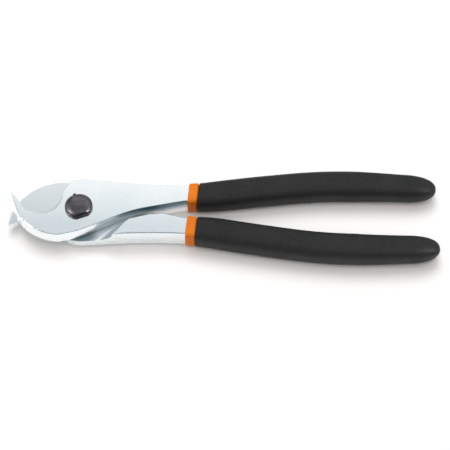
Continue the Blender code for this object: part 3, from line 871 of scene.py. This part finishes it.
def gripInputs(*titles):
    common = (("Route", "NodeSocketObject", None), ("Material", "NodeSocketMaterial", None),
              ("Sides", "NodeSocketInt", 64))
    return common + tuple((title, "NodeSocketFloat", 0.01) for title in titles)


def routeNode(tree, given):
    info = addNode(tree, "GeometryNodeObjectInfo")
    tree.links.new(given.outputs["Route"], info.inputs["Object"])
    return info.outputs["Geometry"]


def coverTree():
    inputs = gripInputs("Mouth", "Width", "Thickness", "Squareness", "Mouth Share", "Swell", "Taper Start",
                        "Nose Start", "Nose Length", "Nose Share", "Nose Roundness", "Lip", "Cavity Width",
                        "Cavity Thickness", "Cavity End", "Cavity End Share")
    tree, given, out = newGroup("gripCover", "GeometryNodeTree", inputs,
                                (("Geometry", "NodeSocketGeometry"),))
    size = given.outputs
    route = routeNode(tree, given)
    along = addNode(tree, "GeometryNodeSplineParameter").outputs["Length"]
    opening = ramp(tree, along, 0.0, size["Swell"], 0.0, pi / 2)
    swell = mathOf(tree, "MULTIPLY_ADD", mathOf(tree, "SINE", opening),
                   mathOf(tree, "SUBTRACT", 1.0, size["Mouth Share"]), size["Mouth Share"])
    taper = ramp(tree, along, size["Taper Start"], size["Nose Start"], 1.0, size["Nose Share"])
    noseEnd = mathOf(tree, "ADD", size["Nose Start"], size["Nose Length"])
    nosePlace = ramp(tree, along, size["Nose Start"], noseEnd, 0.0, 0.9996)
    noseDrop = mathOf(tree, "SUBTRACT", 1.0, mathOf(tree, "POWER", nosePlace, size["Nose Roundness"]))
    nose = mathOf(tree, "POWER", noseDrop, mathOf(tree, "DIVIDE", 1.0, size["Nose Roundness"]))
    lipTurn = mathOf(tree, "SINE", ramp(tree, along, 0.0, size["Lip"], 0.0, pi / 2))
    lipShare = mathOf(tree, "DIVIDE", mathOf(tree, "MULTIPLY", size["Lip"], 2.0), size["Thickness"])
    lipDrop = mathOf(tree, "MULTIPLY", lipShare, mathOf(tree, "SUBTRACT", 1.0, lipTurn))
    scale = mathOf(tree, "SUBTRACT", 1.0, lipDrop)
    for share in (nose, taper, swell):
        scale = mathOf(tree, "MULTIPLY", scale, share)
    profile = profileNodes(tree, size["Width"], size["Thickness"], size["Squareness"], size["Sides"])
    outside = sweepNodes(tree, route, profile, size["Mouth"], 1.0, scale)
    hollow = profileNodes(tree, size["Cavity Width"], size["Cavity Thickness"], 4.0, 32)
    narrowing = ramp(tree, along, 0.0, size["Cavity End"], 1.0, size["Cavity End Share"])
    inside = sweepNodes(tree, route, hollow, 0.0, size["Cavity End"], narrowing)
    finishTree(tree, combine(tree, "DIFFERENCE", outside, inside), given, out)
    return tree


def sleeveTree():
    inputs = gripInputs("Front", "Collar End", "Collar Width", "Collar Thickness", "Squareness", "Round",
                        "Tube Width", "Tube Thickness", "Tube End", "Mouth Width", "Mouth Thickness",
                        "Mouth End", "Cavity Width", "Cavity Thickness", "Cavity End", "End Share")
    tree, given, out = newGroup("gripSleeve", "GeometryNodeTree", inputs,
                                (("Geometry", "NodeSocketGeometry"),))
    size = given.outputs
    route = routeNode(tree, given)
    along = addNode(tree, "GeometryNodeSplineParameter").outputs["Length"]
    collarLength = mathOf(tree, "SUBTRACT", size["Collar End"], size["Front"])
    first = mathOf(tree, "SINE", ramp(tree, along, 0.0, size["Round"], 0.0, pi / 2))
    backStart = mathOf(tree, "SUBTRACT", collarLength, size["Round"])
    last = mathOf(tree, "COSINE", ramp(tree, along, backStart, collarLength, 0.0, pi / 2))
    bothRounds = mathOf(tree, "MULTIPLY", size["Round"], 2.0)
    roundShare = mathOf(tree, "DIVIDE", bothRounds, size["Collar Thickness"])
    both = mathOf(tree, "SUBTRACT", 2.0, mathOf(tree, "ADD", first, last))
    scale = mathOf(tree, "SUBTRACT", 1.0, mathOf(tree, "MULTIPLY", roundShare, both))
    collarProfile = profileNodes(tree, size["Collar Width"], size["Collar Thickness"], size["Squareness"],
                                 size["Sides"])
    collar = sweepNodes(tree, route, collarProfile, size["Front"], size["Collar End"], scale)
    tubeProfile = profileNodes(tree, size["Tube Width"], size["Tube Thickness"], 4.0, 40)
    narrowing = ramp(tree, along, 0.0, size["Tube End"], 1.0, size["End Share"])
    tubeStart = mathOf(tree, "MULTIPLY", mathOf(tree, "ADD", size["Front"], size["Collar End"]), 0.5)
    tube = sweepNodes(tree, route, tubeProfile, tubeStart, size["Tube End"], narrowing)
    mouthProfile = profileNodes(tree, size["Mouth Width"], size["Mouth Thickness"], 16.0, 48)
    mouth = sweepNodes(tree, route, mouthProfile, 0.0, size["Mouth End"])
    hollowProfile = profileNodes(tree, size["Cavity Width"], size["Cavity Thickness"], 4.0, 40)
    hollow = sweepNodes(tree, route, hollowProfile, 0.0, size["Cavity End"], narrowing)
    body = combine(tree, "UNION", collar, tube)
    body = combine(tree, "DIFFERENCE", body, mouth)
    finishTree(tree, combine(tree, "DIFFERENCE", body, hollow), given, out)
    return tree


def routeCurve(name, stations, side):
    curve = bpy.data.curves.new(name, "CURVE")
    curve.dimensions = "3D"
    spline = curve.splines.new("POLY")
    spline.points.add(len(stations) - 1)
    for point, x in zip(spline.points, stations):
        point.co = (x, side * handleOffset(x), midHeight, 1)
    obj = bpy.data.objects.new(name, curve)
    bpy.context.scene.collection.objects.link(obj)
    return obj


def lengthAt(x, stations):
    line = np.array([(s, handleOffset(s)) for s in stations])
    lengths = np.concatenate(([0], np.cumsum(np.hypot(*np.diff(line, axis=0).T))))
    return float(np.interp(x, stations, lengths))


def sweptPiece(name, tree, values, sharpAngle=35):
    obj = bpy.data.objects.new(name, bpy.data.meshes.new(name))
    bpy.context.scene.collection.objects.link(obj)
    modifier = obj.modifiers.new(name, "NODES")
    modifier.node_group = tree
    for item in tree.interface.items_tree:
        if item.in_out == "INPUT":
            modifier[item.identifier] = values[item.name]
    return bakeModifiers(obj, sharpAngle, mend=0.002 * mm)


def leanMouth(piece):
    # slides each point along the handle, more the further out it is, and less towards the nose
    def move(co):
        share = np.clip((co[:, 0] - grip["collarFront"] - grip["collarLength"]) / grip["leanReach"], 0, 1)
        out = co[:, 1] - np.array([handleOffset(x) for x in co[:, 0]])
        co[:, 0] += (grip["slide"] + grip["lean"] * out) * (1 + np.cos(pi * share)) / 2

    movePoints(piece, move)


def gripPiece(name, tree, stations, side, values, node):
    route = routeCurve("gripRoute", stations, side)
    piece = sweptPiece(name, tree, {"Route": route, "Sides": grip["sides"], **values})
    bpy.data.objects.remove(route)
    if side > 0:
        leanMouth(piece)
    standFor(piece, node, "front_body" if side > 0 else "rear_body")


def makeGrips():
    g = grip
    lead, step = 1 * mm, 0.1 * mm  # each route starts a lead before the mouth, so that its hollow runs out
    collarEnd = g["collarFront"] + g["collarLength"]
    mouth = collarEnd + g["gap"]
    noseStart = g["end"] - g["nose"]
    tangEnd = g["end"] - g["tangStop"]

    stations = [mouth - lead, *(mouth + k * step for k in range(8))]
    stations += list(np.arange(mouth + 1.5 * mm, noseStart, 1.6 * mm))
    stations += [noseStart + g["nose"] * sin(pi / 2 * k / 26) for k in range(27)]
    coverStations = stations
    room = 2 * (2 * g["gap"] + g["sleeveWall"])
    coverSizes = {
        "Material": rubber, "Mouth": lengthAt(mouth, stations), "Width": g["width"],
        "Thickness": g["thickness"], "Squareness": g["coverSquareness"], "Mouth Share": g["mouthShare"],
        "Swell": g["swell"], "Taper Start": lengthAt(g["end"] - g["taper"], stations) - lead,
        "Nose Start": lengthAt(noseStart, stations) - lead,
        "Nose Length": lengthAt(g["end"], stations) - lengthAt(noseStart, stations),
        "Nose Share": g["noseShare"], "Nose Roundness": g["noseRoundness"], "Lip": g["coverLip"],
        "Cavity Width": g["tangWidth"] + room, "Cavity Thickness": g["tangThickness"] + room,
        "Cavity End": lengthAt(tangEnd + 1.5 * mm, stations), "Cavity End Share": g["coverCavityShare"]}

    stations = [g["collarFront"] - lead, *(g["collarFront"] + k * step for k in range(6))]
    stations += [g["collarFront"] + k * mm for k in (1, 2, 3, 4)]
    stations += [collarEnd - k * step for k in range(5, -1, -1)]
    stations += list(np.arange(collarEnd + 1.5 * mm, tangEnd + 4 * mm, 3 * mm))
    sleeveStations = stations
    mouthWidth = half["shankWidth"] + 2 * g["gap"]
    mouthThickness = 2 * (outerFace + g["gap"])
    wall = 2 * (g["gap"] + g["sleeveWall"])
    sleeveSizes = {
        "Material": orange, "Front": lengthAt(g["collarFront"], stations),
        "Collar End": lengthAt(collarEnd, stations), "Collar Width": mouthWidth + 2 * g["collarWall"],
        "Collar Thickness": mouthThickness + 2 * g["collarWall"], "Squareness": g["collarSquareness"],
        "Round": g["collarRound"], "Tube Width": g["tangWidth"] + wall,
        "Tube Thickness": g["tangThickness"] + wall,
        "Tube End": lengthAt(tangEnd + g["gap"] + g["sleeveWall"], stations), "Mouth Width": mouthWidth,
        "Mouth Thickness": mouthThickness, "Mouth End": lengthAt(half["shankEnd"] + g["gap"] + mm, stations),
        "Cavity Width": g["tangWidth"] + 2 * g["gap"], "Cavity Thickness": g["tangThickness"] + 2 * g["gap"],
        "Cavity End": lengthAt(tangEnd + g["gap"], stations), "End Share": g["sleeveEndShare"]}

    cover, sleeve = coverTree(), sleeveTree()
    for side, label in ((1, "upper"), (-1, "lower")):
        gripPiece(label + "Cover", cover, coverStations, side, coverSizes, label + "_grip_cover")
        gripPiece(label + "Sleeve", sleeve, sleeveStations, side, sleeveSizes, label + "_grip_sleeve")


makeGrips()
print("grips made")


# The pivot

def boxTool(name, low, high, turn):
    bm = bmesh.new()
    bmesh.ops.create_cube(bm, size=1.0)
    for vert in bm.verts:
        x, y, z = (low[k] + (vert.co[k] + 0.5) * (high[k] - low[k]) for k in range(3))
        vert.co = (x * cos(turn) - y * sin(turn), x * sin(turn) + y * cos(turn), z)
    return meshObject(name, bm, (oxide,))


def makeBolt():
    p = pivot
    seat = outerFace + half["seat"]
    height = boltTop - seat
    rimTop, rounding = seat + p["rimHeight"], p["rimRound"]
    domeRadius = p["headRadius"] - rounding
    profile = [(0, boltTop)]
    for k in range(1, 25):
        turn = pi / 2 * k / 24
        rise = (height - p["rimHeight"]) * cos(turn) ** p["domePower"]
        profile.append((domeRadius * sin(turn), rimTop + rise))
    for k in range(1, 6):
        turn = pi / 2 * k / 5
        profile.append((domeRadius + rounding * sin(turn), rimTop - rounding * (1 - cos(turn))))
    chamfer, foot, end = p["endChamfer"], p["footRound"], -midHeight
    profile += [(p["headRadius"], seat + foot), (p["headRadius"] - foot, seat), (p["boltRadius"], seat),
                (p["boltRadius"], end + chamfer), (p["boltRadius"] - chamfer, end), (0, end)]
    bolt = meshObject("pivotBolt", lathe(profile, 128), (oxide,))
    reach = 2 * p["headRadius"]
    top = (reach, reach, seat + reach)
    for name, front, low in (("rimFlat", p["flat"], seat - 0.1 * mm),
                             ("domeFlat", p["ledge"], seat + p["rimHeight"] * 0.6)):
        cutWith(bolt, boxTool(name, (front, -reach, low), top, p["turn"]))
    notch = lathe(((0, 0), (p["pinRadius"] + half["seat"], 0), (p["pinRadius"] + half["seat"], seat + reach),
                   (0, seat + reach)), 48, pinPlace)
    cutWith(bolt, meshObject("notch", notch, (oxide,)))
    placeHalf(bolt, False)
    standFor(bolt, "pivot_bolt", "front_body")


makeBolt()
for node, material in (("locking_pin", oxide), ("pivot_nut", oxide), ("pivot_washer", steelFace)):
    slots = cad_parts[node].data.materials
    slots.clear()
    slots.append(material)
print("pivot made")


# The studio

studio = dict(
    target=(78.4 * mm, -6.17 * mm),
    distance=650 * mm,
    elevation=radians(60),
    azimuth=radians(1.371),
    lens=97.1,
    floorSize=6.0,
    floorGlowInSteel=0.27,  # the floor's painted glow, seen only in the steel's reflections
    worldMirrored=(0.162, 0.215, 0.240, 1),  # the dim blue room that the steel shows
    worldLight=(0.21, 0.20, 0.19, 1),
    lights=(  # name, place, size, radiance, colour, and whether it lights surfaces and is mirrored in them
        ("keyBox", (0.00, 0.56, 1.08), (0.8, 0.7), 4.3, (1.0, 0.995, 0.99), True, False),
        ("fillBox", (0.08, -0.40, 1.25), (1.6, 1.2), 1.75, (1.0, 0.97, 0.95), True, False),
        ("skyBox", (0.24, 0.85, 0.85), (1.9, 1.1), 0.93, (0.99, 0.995, 1.0), True, True),
        ("leftGlint", (-0.72, -0.16, 0.80), (0.34, 0.34), 12.0, (0.97, 0.96, 1.0), False, True),
        ("rightGlint", (0.86, -0.16, 0.80), (0.34, 0.34), 26.0, (0.97, 0.96, 1.0), False, True),
        ("edgeCard", (-1.0, 0.30, 0.45), (0.6, 1.1), 0.9, (0.9, 0.96, 1.0), False, True),
        ("rightCard", (1.25, 0.10, 0.50), (0.7, 0.9), 0.8, (0.95, 0.98, 1.0), False, True),
        ("topCard", (0.08, 0.00, 1.40), (0.6, 0.6), 0.6, (0.95, 0.98, 1.0), False, True),
        ("frontCard", (0.08, -1.25, 0.52), (1.7, 0.62), 0.62, (0.95, 0.98, 1.0), False, True),
    ),
)


def softBox(name, place, size, radiance, colour, lights, mirrored):
    light = bpy.data.lights.new(name, "AREA")
    light.shape = "RECTANGLE"
    light.size, light.size_y = size
    light.energy = radiance * pi * size[0] * size[1]
    light.color = colour
    obj = bpy.data.objects.new(name, light)
    bpy.context.scene.collection.objects.link(obj)
    obj.location = place
    aim = Vector((0.08, 0, 0)) - Vector(place)
    obj.rotation_euler = aim.to_track_quat("-Z", "Y").to_euler()
    obj.visible_diffuse = lights
    obj.visible_glossy = mirrored


def makeStudio():
    s = studio
    bm = bmesh.new()
    bmesh.ops.create_grid(bm, x_segments=1, y_segments=1, size=s["floorSize"] / 2)
    floorMaterial = bpy.data.materials.new("studioFloor")
    floorMaterial.use_nodes = True
    shader = floorMaterial.node_tree.nodes["Principled BSDF"]
    for title, value in (("Base Color", (0.9, 0.9, 0.9, 1)), ("Roughness", 0.9), ("Specular IOR Level", 0.1),
                         ("Emission Color", (1, 1, 1, 1))):
        shader.inputs[title].default_value = value
    # painted reflection: the floor glows where the steel mirrors it, and lights nothing
    seen = addNode(floorMaterial.node_tree, "ShaderNodeLightPath")
    reflectedFloorGlow = mathOf(floorMaterial.node_tree, "MULTIPLY", seen.outputs["Is Glossy Ray"], s["floorGlowInSteel"])
    floorMaterial.node_tree.links.new(reflectedFloorGlow, shader.inputs["Emission Strength"])
    floor = meshObject("floor", bm, (floorMaterial,))
    floor.location.z = -0.1 * mm

    back = Vector((sin(s["azimuth"]) * cos(s["elevation"]), -cos(s["azimuth"]) * cos(s["elevation"]),
                   sin(s["elevation"])))
    camera = bpy.data.objects.new("camera", bpy.data.cameras.new("camera"))
    bpy.context.scene.collection.objects.link(camera)
    camera.location = Vector((*s["target"], midHeight)) + back * s["distance"]
    camera.rotation_euler = (-back).to_track_quat("-Z", "Y").to_euler()
    camera.data.lens = s["lens"]
    camera.data.clip_start = 0.01
    bpy.context.scene.camera = camera
    bpy.context.scene.view_settings.view_transform = "Standard"

    world = bpy.data.worlds.new("studioWorld")
    world.use_nodes = True
    tree = world.node_tree
    path = addNode(tree, "ShaderNodeLightPath")
    colour = mixColour(tree, path.outputs["Is Glossy Ray"], s["worldLight"], s["worldMirrored"])
    tree.links.new(colour, tree.nodes["Background"].inputs["Color"])
    bpy.context.scene.world = world
    for light in s["lights"]:
        softBox(*light)


makeStudio()
print("studio made")
